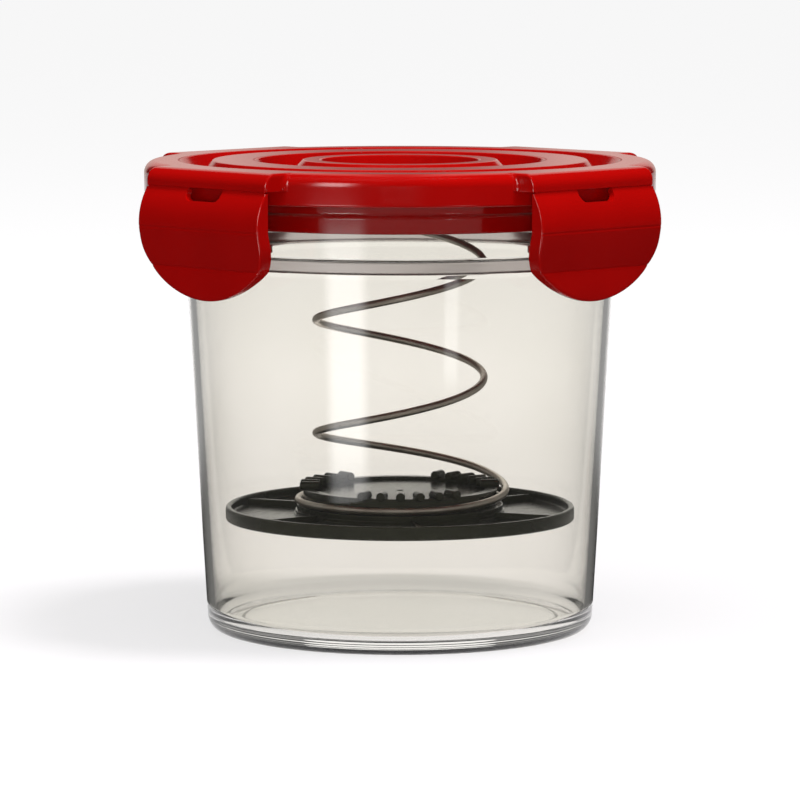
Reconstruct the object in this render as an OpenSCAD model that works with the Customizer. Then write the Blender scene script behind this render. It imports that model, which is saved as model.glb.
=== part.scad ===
// Kimchi pot: clear tapered pot, clip-on lid and a press plate on a spring

/* [Pot] */
// Outer radius of the pot's wall, carried down to the table
pot_foot_r = 63.8; // [56:0.1:72]
// Height of the pot's rim above the table
pot_rim_z = 148.8; // [138:0.1:165]
// Outward lean of the pot's wall, in degrees
pot_draft = 3.3; // [1.5:0.1:4.5]
// Thickness of the pot's wall
pot_wall = 2.5; // [1.8:0.1:3]
// Thickness of the pot's floor
pot_floor = 4.3; // [3:0.1:6]
// Radius of the rounded edge round the pot's base
base_round = 5; // [3:0.1:7]
// Width of the ring that the pot stands on
foot_w = 7; // [4:0.1:12]
// Depth of the hollow inside that ring
foot_hollow = 0.9; // [0.4:0.1:1.5]
// Distance from the rim down to the underside of the catch ledge
ledge_drop = 25; // [23:0.1:28]
// Height of the catch ledge
ledge_h = 4; // [3:0.1:5]
// How far the catch ledge stands out of the neck
ledge_out = 4.1; // [3.7:0.1:4.6]
// How far the neck stands out of the tapered wall
neck_out = 0.8; // [0.4:0.1:1.4]
// Height of the bead round the rim
bead_h = 7.4; // [5.5:0.1:8.5]
// How far the rim bead stands out of the neck
bead_out = 2.3; // [1.5:0.1:2.6]
// Height of the slope under the rim bead
bead_slope = 1.2; // [0.6:0.1:2]
// Height in which the pot's inside widens below the ledge
throat_h = 2; // [1:0.1:4]
// Rounding of the small moulded edges
edge_round = 0.8; // [0.3:0.1:1]

/* [Lid] */
// Wall thickness of the lid
lid_wall = 2.2; // [1.8:0.1:2.6]
// Height of the raised rings above the lid's floor
ring_rise = 4.5; // [3.5:0.1:5.5]
// Gap between the pot's rim and the underside of the lid's floor
rim_gap = 0.5; // [0.4:0.1:1]
// How far the skirt reaches down past the pot's rim
skirt_lap = 3.3; // [2.5:0.05:5]
// Gap between the rim bead and the skirt
skirt_gap = 8.2; // [7.6:0.1:9]
// Radius of the rounded shoulder above the skirt
shoulder_r = 4; // [3:0.1:5.7]
// Distance from the skirt's face to the inner edge of the rim crest
crest_w = 11.4; // [10.5:0.1:12.5]
// How far the plug reaches down into the pot's neck
plug_depth = 12.8; // [8:0.1:16]
// Gap between the plug and the neck
plug_gap = 0.6; // [0.3:0.1:1]
// Width of the slope from the rim crest down to the valley
crest_run = 3; // [2:0.1:4]
// Width of the valley between the rim crest and the outer ring
valley_w = 4.6; // [4:0.1:7]
// Width of the slope on the outer side of the outer ring
outer_run = 3.7; // [2:0.1:5]
// Width of the outer ring's flat top
outer_ring_w = 13.7; // [10:0.1:15]
// Width of the slope on the inner side of the outer ring
groove_run = 2; // [1:0.1:4]
// Width of the groove between the two rings
ring_groove_w = 9.5; // [6:0.1:11]
// Width of the slope on the outer side of the inner ring
inner_run = 4.5; // [2:0.1:5]
// Width of the inner ring's flat top
inner_ring_w = 5.5; // [4:0.1:8]
// Width of the slope down to the recess in the middle
recess_run = 1.5; // [1:0.1:3]
// Rounding of the edges of the rings
ring_round = 0.9; // [0.3:0.1:1.2]
// How far the straight tabs stand out of the skirt
tab_reach = 3.1; // [2.4:0.1:5]
// Height of the tabs
tab_h = 5.8; // [5:0.1:6.5]
// Thickness of the lip round the edge of a tab
tab_lip = 2; // [1.5:0.1:2.6]
// Radius of the rounded top edge of a tab
tab_round = 4.5; // [2.5:0.1:5]
// Radius of the corners of a tab, seen from above
tab_corner_r = 2; // [1:0.1:3]
// How far the spring's boss stands down from the lid's floor
boss_drop = 4.05; // [3:0.05:6]

/* [Clips] */
// Width of a clip and of its tab
clip_w = 56; // [50:0.1:62]
// Wall thickness of a clip
clip_wall = 2; // [1.6:0.1:2.4]
// How far a clip reaches down past its hook
clip_lip = 9.2; // [8:0.1:12]
// How far the clip's face bulges out of the tab's face
clip_bulge = 3.6; // [3:0.1:5.5]
// Distance from the hinge down to the first bend line
clip_bend = 13; // [11:0.1:15]
// Distance from the second bend line down to the clip's lower edge
clip_curl = 10.4; // [9:0.1:11.5]
// How far the face leans in between the two bend lines
clip_lean = 3; // [2:0.1:4]
// How far the lower edge is set in from the second bend line
clip_tuck = 0.2; // [0:0.1:1.5]
// Radius of the face above the first bend line
face_upper_r = 19.5; // [17:0.1:24]
// Radius of the face between the bend lines
face_middle_r = 90; // [60:1:140]
// Radius of the face below the second bend line
face_lower_r = 60; // [30:1:140]
// Radius of the clip's round lower edge
clip_arc_r = 36; // [33:0.1:50]
// Radius of the clip's lower corners
clip_corner_r = 14; // [6:0.1:16]
// Width of the notch in the clip's top edge
notch_w = 16.2; // [12:0.1:20]
// Depth of that notch
notch_d = 4.1; // [3.3:0.1:6]
// Radius of the notch's corners
notch_r = 2.7; // [1.5:0.1:3.2]
// Radius of the hinge bead
hinge_r = 0.5; // [0.4:0.05:0.6]
// Running clearance round the hinge bead
hinge_clear = 0.05; // [0.03:0.01:0.1]
// Distance from the hinge line down to where the face starts to bulge
hinge_neck = 0.95; // [0.9:0.05:1.3]
// Opening angle of a clip, in degrees
clip_open = 110; // [80:1:110]
// Width of a clip's hook
hook_w = 20; // [16:0.1:30]
// Thickness of a clip's hook
hook_t = 3.2; // [2.4:0.1:4]
// Gap between the hook and the underside of the ledge
hook_gap = 0.3; // [0.3:0.1:0.6]
// Gap that the hook's inner edge leaves round the rim bead
hook_pass = 0.4; // [0.3:0.05:0.6]
// Height of the webs that carry a hook
web_h = 9; // [6:0.1:10]
// Thickness of those webs
web_t = 1.6; // [1.2:0.1:2.2]
// Number of webs that carry a hook
web_count = 3; // [2:1:4]

/* [Press] */
// Height of the press plate's underside above the table
press_z = 36.8; // [20:0.1:60]
// Gap between the press plate and the pot's inner wall, carried down to the table
plate_gap = 3.3; // [1.5:0.1:8]
// Thickness of the press plate's floor
plate_floor = 1.6; // [1.2:0.1:2.4]
// Height of the press plate's rim
plate_rim_h = 4.6; // [3.5:0.1:6]
// Thickness of the press plate's rim
plate_rim_t = 2; // [1.4:0.1:3]
// Number of radial ribs on the press plate
rib_count = 6; // [3:1:10]
// Thickness of a rib
rib_t = 1.6; // [1.2:0.1:2.4]
// Height of a rib above the plate's floor
rib_h = 2; // [1.2:0.1:2.6]
// Direction of the first rib, in degrees
rib_turn = 22; // [0:1:59]
// Height of the hub above the plate's underside
hub_h = 4.9; // [4:0.1:7]
// How far the hub stands out past the middle of the spring's end coil
hub_over = 0.55; // [0.3:0.05:1.2]
// Height and depth of each fine step round the hub
hub_step = 0.5; // [0.3:0.05:0.7]
// Gap between the spigot that centres a spring retainer and the retainer's pegs
spigot_gap = 0.3; // [0.2:0.1:1]

/* [Spring] */
// Diameter of the spring's wire
wire_d = 2.5; // [2:0.1:3]
// Mean radius of the spring's working coils
coil_r = 27.9; // [24:0.1:30]
// Mean radius of the spring's end coils
end_coil_r = 33.75; // [31:0.05:36]
// Rise of the working coils in one turn
coil_pitch = 37.7; // [30:0.1:45]
// Angle of an end coil, in degrees
end_coil_turn = 260; // [200:1:280]
// Angle in which the wire bends up from an end coil to the full pitch, in degrees
coil_ramp = 120; // [100:1:140]
// Angle in which the rising wire widens to pass the pegs, in degrees
coil_widen = 90; // [70:1:94]
// Angle in which the wire then draws in to the working coils, in degrees
coil_draw_in = 134; // [100:1:180]
// Gap that the end coils leave to their seats
seat_gap = 0.2; // [0.1:0.05:0.4]
// Direction in which the wire leaves the lower end coil, in degrees
coil_start = -45; // [-180:1:180]

/* [Spring retainers] */
// Thickness of a retainer's ring
keeper_t = 3.9; // [3:0.1:5]
// Height of a retainer's ring
keeper_h = 5.3; // [4.8:0.1:6.5]
// Gap between a retainer's ring and the spring's end coil
keeper_gap = 0.3; // [0.2:0.05:0.6]
// Clearance between a retainer's bore and its spigot
keeper_clear = 0.05; // [0.03:0.01:0.15]
// Diameter of the retainer's pegs
peg_d = 3; // [2.4:0.1:3.4]
// How far the pegs stand out over the end coil
peg_over = 1.2; // [0.9:0.1:1.5]
// How far the pegs stand in from the ring's bore
peg_in = 1.5; // [0.8:0.1:2.5]
// How far the middle of a peg lies above the ring
peg_lift = 0.7; // [0.4:0.1:1]
// Number of peg groups
peg_groups = 3; // [2:1:4]
// Number of pegs in a group
group_pegs = 6; // [3:1:6]
// Angle between two pegs of a group, in degrees
peg_step = 11.4; // [9:0.1:12]
// Angle from the wire's lift-off to the middle of the first group, in degrees
group_turn = 6; // [0:1:12]
// Gap that the rising wire leaves to the pegs
peg_pass = 0.5; // [0.4:0.05:0.8]

/* [Seal] */
// Gap between the rim bead and the outer wall of the seal's groove
groove_gap = 2.8; // [2.2:0.1:3.4]
// Thickness of the outer wall of the seal's groove
groove_wall = 1.6; // [1.2:0.1:2]
// How far that wall reaches down past the pot's rim
groove_lap = 1.5; // [0.8:0.1:3]
// Gap between the seal and the pot's rim
seal_lift = 0.3; // [0.2:0.05:0.4]
// Clearance between the seal and its groove
seal_clear = 0.1; // [0.05:0.05:0.3]

/* [Hidden] */
$fn = 96;
// Segments of a rounded corner in an outline
corner_steps = 6;
// Small overlap that fuses the features of one piece
fuse = 0.5;
// Length that carries a cut or a profile clear of the whole part
beyond = 120;

// Pot
ledge_z = pot_rim_z - ledge_drop;
neck_r = pot_foot_r + ledge_z * tan(pot_draft) + neck_out;
neck_in_r = neck_r - pot_wall;
ledge_r = neck_r + ledge_out;
bead_r = neck_r + bead_out;
foot_in_r = pot_foot_r - base_round - foot_w;

// Lid
lid_under_z = pot_rim_z + rim_gap;
lid_floor_z = lid_under_z + lid_wall;
lid_top_z = lid_floor_z + ring_rise;
lid_roof_z = lid_top_z - lid_wall;
skirt_z = pot_rim_z - skirt_lap;
skirt_in_r = bead_r + skirt_gap;
skirt_r = skirt_in_r + lid_wall;
groove_r = bead_r + groove_gap;
groove_z = pot_rim_z - groove_lap;
plug_r = neck_in_r - plug_gap;
plug_z = pot_rim_z - plug_depth;
crest_in_r = skirt_r - crest_w;
valley_r = crest_in_r - crest_run;
outer_foot_r = valley_r - valley_w;
outer_top_r = outer_foot_r - outer_run;
outer_in_r = outer_top_r - outer_ring_w;
groove_out_r = outer_in_r - groove_run;
inner_foot_r = groove_out_r - ring_groove_w;
inner_top_r = inner_foot_r - inner_run;
inner_in_r = inner_top_r - inner_ring_w;
recess_r = inner_in_r - recess_run;
// Radii of each slope of the rings, at the floor and at the top, from the middle out
slopes = [[recess_r, inner_in_r], [inner_foot_r, inner_top_r], [groove_out_r, outer_in_r],
          [outer_foot_r, outer_top_r], [valley_r, crest_in_r]];
tab_face = skirt_r + tab_reach;
tab_root_r = crest_in_r + crest_w / 4;

// Clips
hinge_d = tab_face - hinge_r;
hinge_z = lid_top_z - tab_h;
hook_z = ledge_z - hook_gap;
hook_r = bead_r + hook_pass;
clip_z = hook_z - clip_lip;
clip_arc_z = clip_z + clip_arc_r;
// Points of the clip's face, from the hinge down to the lower edge
face = [[tab_face, hinge_z - hinge_neck],
        [tab_face + clip_bulge, hinge_z - clip_bend],
        [tab_face + clip_bulge - clip_lean, clip_z + clip_curl],
        [tab_face + clip_bulge - clip_lean - clip_tuck, clip_z]];
face_radii = [face_upper_r, face_middle_r, face_lower_r];

// Press plate, spring and its seats
plate_r = pot_foot_r - pot_wall - plate_gap;
plate_seat_z = press_z + hub_h;
lid_seat_z = lid_under_z - boss_drop;
coil_low_z = plate_seat_z + seat_gap + wire_d / 2;
coil_high_z = lid_seat_z - seat_gap - wire_d / 2;
coil_rise = coil_high_z - coil_low_z;
// Angle between the two lift-off points, and the half of it that mirrors the spring
work_turn = coil_rise * 360 / coil_pitch + coil_ramp;
half_turn = work_turn / 2;
keeper_out_r = end_coil_r - wire_d / 2 - keeper_gap;
keeper_in_r = keeper_out_r - keeper_t;
peg_end_r = keeper_out_r + peg_over;
pass_r = peg_end_r + peg_pass + wire_d / 2;
spigot_r = keeper_in_r - keeper_clear;
spigot_h = keeper_h + peg_lift - peg_d / 2 - spigot_gap;
hub_r = end_coil_r + hub_over;
// Angle after lift-off at which the wire has risen over the pegs
peg_top = keeper_h + peg_lift + peg_d / 2 + peg_pass - seat_gap;
peg_cleared = coil_ramp / 2 + peg_top * 360 / coil_pitch;
// Rings of the wire in one turn, and sides of a ring
turn_rings = 32;
wire_sides = 8;

function unit(v) = v / norm(v);
function turned(v, a) = [v.x * cos(a) - v.y * sin(a), v.x * sin(a) + v.y * cos(a)];
function smooth(t) = let (k = min(max(t, 0), 1)) k * k * (3 - 2 * k);

// Corner b between a and c as an arc of radius r
function corner(a, b, c, r) =
    let (u = unit(a - b))
    let (w = unit(c - b))
    let (half = acos(u * w) / 2)
    let (middle = b + unit(u + w) * r / sin(half))
    let (start = b + u * r / tan(half) - middle)
    let (sweep = (cross(u, w) < 0 ? 1 : -1) * (180 - 2 * half))
    r == 0 ? [b] : [for (i = [0:corner_steps]) middle + turned(start, sweep * i / corner_steps)];

// Outline through points [x, y, corner radius]
function rounded(p) =
    let (n = len(p))
    let (flat = [for (q = p) [q.x, q.y]])
    [for (i = [0:n - 1]) each corner(flat[(i + n - 1) % n], flat[i], flat[(i + 1) % n], p[i][2])];

// Middle of the arc of radius r that bulges outwards from p down to q
function arc_middle(p, q, r) =
    let (way = unit(q - p))
    (p + q) / 2 + [way.y, -way.x] * sqrt(r * r - pow(norm(q - p) / 2, 2));

// Radius of the pot's tapered wall at a height
function wall_r(z) = pot_foot_r + z * tan(pot_draft);

// Top of the ring profile from the middle out, moved in by a wall thickness t
function ring_line(t) =
    [for (i = [0:len(slopes) - 1])
        let (low = slopes[i][0])
        let (high = slopes[i][1])
        let (shift = t * tan(atan2(ring_rise, abs(high - low)) / 2) * sign(high - low))
        let (foot = [low + shift, lid_floor_z - t, ring_round])
        let (top = [high + shift, lid_top_z - t, ring_round])
        each i % 2 == 0 ? [foot, top] : [top, foot]];

// Height of the wire's middle above the lower end coil, at an angle after lift-off
function lift(a) =
    let (ramp = min(max(a, 0), coil_ramp))
    coil_pitch / 360 * (ramp * ramp / (2 * coil_ramp) + max(a - coil_ramp, 0));

// Radius of the wire's middle at an angle after lift-off
function coil_radius(a) =
    end_coil_r + (pass_r - end_coil_r) * smooth(a / coil_widen)
    - (pass_r - coil_r) * smooth((a - peg_cleared) / coil_draw_in);

// Point of the wire's middle: the upper half mirrors the lower half
function wire_point(a) =
    let (near = a <= half_turn ? a : work_turn - a)
    let (z = a <= half_turn ? coil_low_z + lift(near) : coil_high_z - lift(near))
    let (r = coil_radius(near))
    [r * cos(coil_start + a), r * sin(coil_start + a), z];

module at_side(k) {
    rotate([0, 0, 90 * (k - 1)])
        children();
}

// Profile in radius and height, carried along the width of a clip or tab
module along_width(w) {
    rotate([90, 0, 0])
        linear_extrude(w, center = true)
            children();
}

// Outline in width and height, carried outwards
module outwards() {
    rotate([90, 0, 90])
        linear_extrude(beyond)
            children();
}

module pot_body() {
    throat_z = ledge_z - throat_h;
    color([0.9, 0.92, 0.92, 0.4])
        rotate_extrude()
            polygon(rounded([
                [0, foot_hollow, 0],
                [foot_in_r, foot_hollow, edge_round / 2],
                [foot_in_r + foot_hollow, 0, edge_round / 2],
                [pot_foot_r, 0, base_round],
                [wall_r(ledge_z), ledge_z, edge_round],
                [ledge_r, ledge_z, edge_round],
                [ledge_r, ledge_z + ledge_h, edge_round],
                [neck_r, ledge_z + ledge_h, edge_round],
                [neck_r, pot_rim_z - bead_h, edge_round],
                [bead_r, pot_rim_z - bead_h + bead_slope, edge_round],
                [bead_r, pot_rim_z, edge_round],
                [neck_in_r, pot_rim_z, edge_round],
                [neck_in_r, ledge_z + ledge_h, throat_h],
                [wall_r(throat_z) - pot_wall, throat_z, throat_h],
                [wall_r(pot_floor) - pot_wall, pot_floor, base_round],
                [0, pot_floor, 0]]));
}

module lid_ring_profile() {
    groove_out = groove_r + groove_wall;
    upper = ring_line(0);
    under = ring_line(lid_wall);
    last = len(under) - 1;
    polygon(rounded(concat(
        [[0, lid_floor_z, 0]],
        upper,
        [[skirt_r, lid_top_z, shoulder_r],
         [skirt_r, skirt_z, edge_round],
         [skirt_in_r, skirt_z, edge_round],
         [skirt_in_r, lid_roof_z, min(shoulder_r - lid_wall, skirt_in_r - groove_out)],
         [groove_out, lid_roof_z, 0],
         [groove_out, groove_z, edge_round / 2],
         [groove_r, groove_z, edge_round / 2],
         [groove_r, lid_roof_z, edge_round],
         under[last],
         [under[last - 1].x, lid_under_z, 0],
         [plug_r, lid_under_z, edge_round],
         [plug_r, plug_z, edge_round],
         [plug_r - lid_wall, plug_z, edge_round],
         [plug_r - lid_wall, lid_under_z, 0]],
        [for (i = [last - 2:-1:0]) under[i]],
        [[0, lid_under_z, 0]])));
}

// Walls under the lid that carry the upper spring retainer
module lid_boss_profile() {
    intersection() {
        union() {
            translate([hub_r - lid_wall, lid_seat_z])
                square([lid_wall, lid_top_z - lid_seat_z]);
            translate([spigot_r - lid_wall, lid_seat_z - spigot_h])
                square([lid_wall, lid_top_z - lid_seat_z + spigot_h]);
        }
        polygon(concat([[0, 0], [0, lid_floor_z - fuse]],
            [for (p = ring_line(fuse)) [p.x, p.y]],
            [[skirt_in_r, lid_roof_z], [skirt_in_r, 0]]));
    }
}

// Tab seen from above, moved in by a lip
module tab_plan(inset) {
    half = clip_w / 2 - inset;
    end = tab_face - inset;
    round = tab_corner_r;
    polygon(rounded([[0, -half, 0], [end, -half, round], [end, half, round], [0, half, 0]]));
}

module lid_tab() {
    difference() {
        intersection() {
            translate([0, 0, hinge_z])
                linear_extrude(tab_h)
                    tab_plan(0);
            along_width(beyond)
                polygon(rounded([[0, hinge_z, 0], [tab_face, hinge_z, 0],
                                 [tab_face, lid_top_z, tab_round], [0, lid_top_z, 0]]));
        }
        translate([0, 0, hinge_z - fuse])
            linear_extrude(lid_roof_z - hinge_z + fuse)
                tab_plan(tab_lip);
        translate([0, 0, hinge_z - fuse])
            cylinder(r = skirt_in_r + lid_wall / 2, h = lid_roof_z - hinge_z + fuse);
        translate([0, 0, hinge_z])
            cylinder(r = tab_root_r, h = tab_h + fuse);
        hinge_groove();
    }
}

// Room for the hinge bead, and for the clip's neck when the clip is open
module hinge_groove() {
    r = hinge_r + hinge_clear;
    translate([hinge_d, 0, hinge_z]) {
        rotate([90, 0, 0])
            cylinder(r = r, h = beyond, center = true);
        rotate([0, -clip_open, 0])
            translate([-r, -beyond / 2, -tab_h])
                cube([2 * r, beyond, tab_h]);
    }
}

module lid_shell() {
    color([0.68, 0.03, 0.04]) {
        rotate_extrude() {
            lid_ring_profile();
            lid_boss_profile();
        }
        for (k = [0:3])
            at_side(k)
                lid_tab();
    }
}

module lid_seal() {
    under = ring_line(lid_wall);
    last = len(under) - 1;
    low_z = pot_rim_z + seal_lift;
    slope = (under[last].x - under[last - 1].x) / (under[last].y - under[last - 1].y);
    in_r = under[last - 1].x + max(low_z - under[last - 1].y, 0) * slope + 3 * seal_clear;
    color([0.9, 0.9, 0.86])
        rotate_extrude()
            polygon(rounded([
                [in_r, low_z, edge_round / 2],
                [groove_r - seal_clear, low_z, edge_round / 2],
                [groove_r - seal_clear, lid_roof_z - seal_clear, edge_round],
                [under[last].x + 3 * seal_clear, lid_roof_z - seal_clear, edge_round]]));
}

// Front outline of a clip below its hinge, moved in by a wall thickness
module clip_outline(inset) {
    half = clip_w / 2 - inset;
    arc = clip_arc_r - inset;
    round = clip_corner_r - inset;
    side = half - round;
    low = clip_arc_z - sqrt(pow(arc - round, 2) - side * side);
    translate([-half, low])
        square([2 * half, hinge_z - hinge_neck - inset - low]);
    for (s = [-1, 1])
        translate([s * side, low])
            circle(round);
    intersection() {
        translate([0, clip_arc_z])
            circle(arc);
        polygon([[0, clip_arc_z], [-3 * side, clip_arc_z - 3 * (clip_arc_z - low)],
                 [3 * side, clip_arc_z - 3 * (clip_arc_z - low)]]);
    }
}

// Everything behind the clip's face, moved in by a wall thickness
module behind_face(inset) {
    for (i = [0:len(face_radii) - 1])
        intersection() {
            translate(arc_middle(face[i], face[i + 1], face_radii[i]))
                circle(face_radii[i] - inset, $fn = 180);
            translate([0, face[i + 1].y])
                square([beyond, face[i].y - face[i + 1].y]);
            translate([hook_r - fuse, 0])
                square([beyond, lid_top_z]);
        }
}

// Everything in front of the clip's back edge
module before_back() {
    back = tab_face - 2 * hinge_r;
    low_back = face[3].x - clip_wall;
    polygon([[back, hinge_z], [back, face[1].y], [back - clip_lean, face[2].y],
             [low_back, clip_z + clip_wall], [low_back, 0], [beyond, 0], [beyond, hinge_z]]);
}

module clip_shell() {
    difference() {
        intersection() {
            along_width(clip_w)
                intersection() {
                    behind_face(0);
                    before_back();
                }
            outwards()
                clip_outline(0);
        }
        intersection() {
            along_width(clip_w)
                behind_face(clip_wall);
            outwards()
                clip_outline(clip_wall);
        }
    }
}

// Hook that reaches under the ledge, and the webs above it
module clip_hook() {
    web_r = hook_r + hook_t;
    pitch = hook_w / web_count;
    intersection() {
        union() {
            translate([0, 0, hook_z - hook_t])
                linear_extrude(hook_t)
                    difference() {
                        translate([0, -hook_w / 2])
                            square([tab_face + clip_bulge, hook_w]);
                        circle(hook_r, $fn = 180);
                    }
            for (i = [0:web_count - 1])
                translate([0, pitch * (i - (web_count - 1) / 2), 0])
                    along_width(web_t)
                        polygon([[web_r, hook_z - fuse], [web_r, hook_z],
                                 [tab_face + clip_bulge, hook_z + web_h],
                                 [tab_face + clip_bulge, hook_z - fuse]]);
        }
        along_width(clip_w)
            behind_face(clip_wall / 2);
        outwards()
            clip_outline(0);
    }
}

module clip_notch() {
    outwards() {
        translate([-notch_w / 2, hinge_z - notch_d + notch_r])
            square([notch_w, notch_d]);
        translate([notch_r - notch_w / 2, hinge_z - notch_d])
            square([notch_w - 2 * notch_r, notch_d]);
        for (s = [-1, 1])
            translate([s * (notch_w / 2 - notch_r), hinge_z - notch_d + notch_r])
                circle(notch_r);
    }
}

// Hinge bead and the thin neck that joins it to the clip
module clip_hinge() {
    width = clip_w - 2 * tab_corner_r;
    translate([hinge_d, 0, hinge_z]) {
        rotate([90, 0, 0])
            cylinder(r = hinge_r, h = width, center = true);
        translate([-hinge_r, -width / 2, -hinge_neck - fuse])
            cube([2 * hinge_r, width, hinge_neck + fuse]);
    }
}

module clip(k) {
    color([0.66, 0.03, 0.04])
        at_side(k)
            difference() {
                union() {
                    clip_shell();
                    clip_hook();
                    clip_hinge();
                }
                clip_notch();
            }
}

module press_plate() {
    floor_z = press_z + plate_floor;
    color([0.17, 0.18, 0.15]) {
        rotate_extrude()
            polygon(rounded([
                [hub_r - plate_floor, press_z, 0],
                [plate_r, press_z, edge_round],
                [plate_r, press_z + plate_rim_h, edge_round],
                [plate_r - plate_rim_t, press_z + plate_rim_h, edge_round],
                [plate_r - plate_rim_t, floor_z, edge_round],
                [hub_r + 2 * hub_step, floor_z, 0],
                [hub_r + 2 * hub_step, floor_z + hub_step, 0],
                [hub_r + hub_step, floor_z + hub_step, 0],
                [hub_r + hub_step, floor_z + 3 * hub_step, 0],
                [hub_r, floor_z + 3 * hub_step, 0],
                [hub_r, plate_seat_z, edge_round / 2],
                [spigot_r, plate_seat_z, 0],
                [spigot_r, plate_seat_z + spigot_h, edge_round / 2],
                [0, plate_seat_z + spigot_h, 0],
                [0, plate_seat_z + spigot_h - plate_floor, 0],
                [spigot_r - plate_floor, plate_seat_z + spigot_h - plate_floor, edge_round],
                [spigot_r - plate_floor, plate_seat_z - plate_floor, 0],
                [hub_r - plate_floor, plate_seat_z - plate_floor, edge_round]]));
        for (i = [0:rib_count - 1])
            rotate([0, 0, rib_turn + i * 360 / rib_count])
                translate([hub_r - fuse, -rib_t / 2, floor_z - fuse])
                    cube([plate_r - plate_rim_t - hub_r + 2 * fuse, rib_t, rib_h + fuse]);
    }
}

// Ring with groups of pegs that hold an end coil down on its seat
module spring_retainer() {
    color([0.16, 0.17, 0.14]) {
        difference() {
            cylinder(r = keeper_out_r, h = keeper_h);
            translate([0, 0, -fuse])
                cylinder(r = keeper_in_r, h = keeper_h + 2 * fuse);
        }
        for (g = [0:peg_groups - 1], i = [0:group_pegs - 1])
            rotate([0, 0, group_turn + g * 360 / peg_groups + peg_step * (i - (group_pegs - 1) / 2)])
                translate([keeper_in_r - peg_in, 0, keeper_h + peg_lift])
                    rotate([0, 90, 0])
                        cylinder(d = peg_d, h = peg_end_r - keeper_in_r + peg_in, $fn = 24);
    }
}

module plate_spring_retainer() {
    translate([0, 0, plate_seat_z])
        rotate([0, 0, coil_start])
            spring_retainer();
}

module lid_spring_retainer() {
    translate([0, 0, lid_seat_z])
        rotate([180, 0, coil_start + work_turn])
            spring_retainer();
}

module press_spring() {
    first = -end_coil_turn;
    last = work_turn + end_coil_turn;
    rings = ceil((last - first) * turn_rings / 360);
    path = [for (i = [0:rings]) wire_point(first + (last - first) * i / rings)];
    points = [for (i = [0:rings])
        let (way = unit(path[min(i + 1, rings)] - path[max(i - 1, 0)]))
        let (out = unit(cross([0, 0, 1], way)))
        let (up = cross(way, out))
        each [for (s = [0:wire_sides - 1])
            path[i] + wire_d / 2 * (cos(360 * s / wire_sides) * out + sin(360 * s / wire_sides) * up)]];
    walls = [for (i = [0:rings - 1], s = [0:wire_sides - 1])
        let (a = i * wire_sides + s)
        let (b = i * wire_sides + (s + 1) % wire_sides)
        each [[a, a + wire_sides, b], [b, a + wire_sides, b + wire_sides]]];
    ends = [for (s = [1:wire_sides - 2])
        each [[0, s, s + 1], [rings * wire_sides, rings * wire_sides + s + 1, rings * wire_sides + s]]];
    apart = ceil(rings * 180 / (last - first));
    gap = min([for (i = [0:rings - apart], j = [i + apart:rings]) norm(path[i] - path[j])]) - wire_d;
    echo(spring_least_gap_to_itself_mm = gap);
    color([0.72, 0.71, 0.69])
        polyhedron(points, concat(walls, ends), convexity = 10);
}

pot_body();
lid_shell();
lid_seal();
clip(0);  // front_clip
clip(1);  // right_clip
clip(2);  // rear_clip
clip(3);  // left_clip
press_spring();
lid_spring_retainer();
press_plate();
plate_spring_retainer();
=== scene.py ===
import math

import bmesh
import bpy
from mathutils import Matrix, Vector


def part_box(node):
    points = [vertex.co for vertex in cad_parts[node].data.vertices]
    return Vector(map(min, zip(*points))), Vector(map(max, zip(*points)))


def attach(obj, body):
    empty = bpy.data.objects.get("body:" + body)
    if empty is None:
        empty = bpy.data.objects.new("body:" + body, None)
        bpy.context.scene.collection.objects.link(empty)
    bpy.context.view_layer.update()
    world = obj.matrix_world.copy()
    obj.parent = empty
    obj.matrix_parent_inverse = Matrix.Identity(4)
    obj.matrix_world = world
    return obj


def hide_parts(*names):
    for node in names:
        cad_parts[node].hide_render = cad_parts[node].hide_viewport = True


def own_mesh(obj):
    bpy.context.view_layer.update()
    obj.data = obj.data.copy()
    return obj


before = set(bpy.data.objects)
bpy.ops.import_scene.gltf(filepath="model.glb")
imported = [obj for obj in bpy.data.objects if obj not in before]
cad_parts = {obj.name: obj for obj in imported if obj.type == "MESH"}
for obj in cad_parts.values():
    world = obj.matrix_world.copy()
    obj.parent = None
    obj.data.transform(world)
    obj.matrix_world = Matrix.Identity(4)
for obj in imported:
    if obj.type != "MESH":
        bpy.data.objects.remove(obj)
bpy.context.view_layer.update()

# All shapes are worked out in millimetres and scaled to metres when a piece is made
MM = 0.001
UP = Vector((0, 0, 1))
# Points closer than this are merged
MERGE = 0.002
# Edges sharper than this are rounded
SHARP = math.radians(40)


def corners(node):
    """Lowest and highest corner of a CAD node, in millimetres."""
    low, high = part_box(node)
    return low / MM, high / MM


pot_low, pot_high = corners("pot_body")
lid_low, lid_high = corners("lid_shell")
clip_low, clip_high = corners("right_clip")
plate_low, plate_high = corners("press_plate")

# Pot
RIM_Z = pot_high.z
LEDGE_R = pot_high.x
POT_DRAFT = math.radians(3.3)
POT_FOOT_R = 63.8
POT_WALL = 2.5
POT_FLOOR = 4.3
BASE_ROUND = 5.0
FOOT_W = 7.0
FOOT_HOLLOW = 0.9
LEDGE_DROP = 25.0
LEDGE_H = 4.0
LEDGE_OUT = 4.1
BEAD_H = 7.4
BEAD_OUT = 2.3
BEAD_SLOPE = 1.2
THROAT_H = 2.0
EDGE_ROUND = 0.8
LEDGE_Z = RIM_Z - LEDGE_DROP
NECK_R = LEDGE_R - LEDGE_OUT
NECK_IN_R = NECK_R - POT_WALL
BEAD_R = NECK_R + BEAD_OUT

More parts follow.
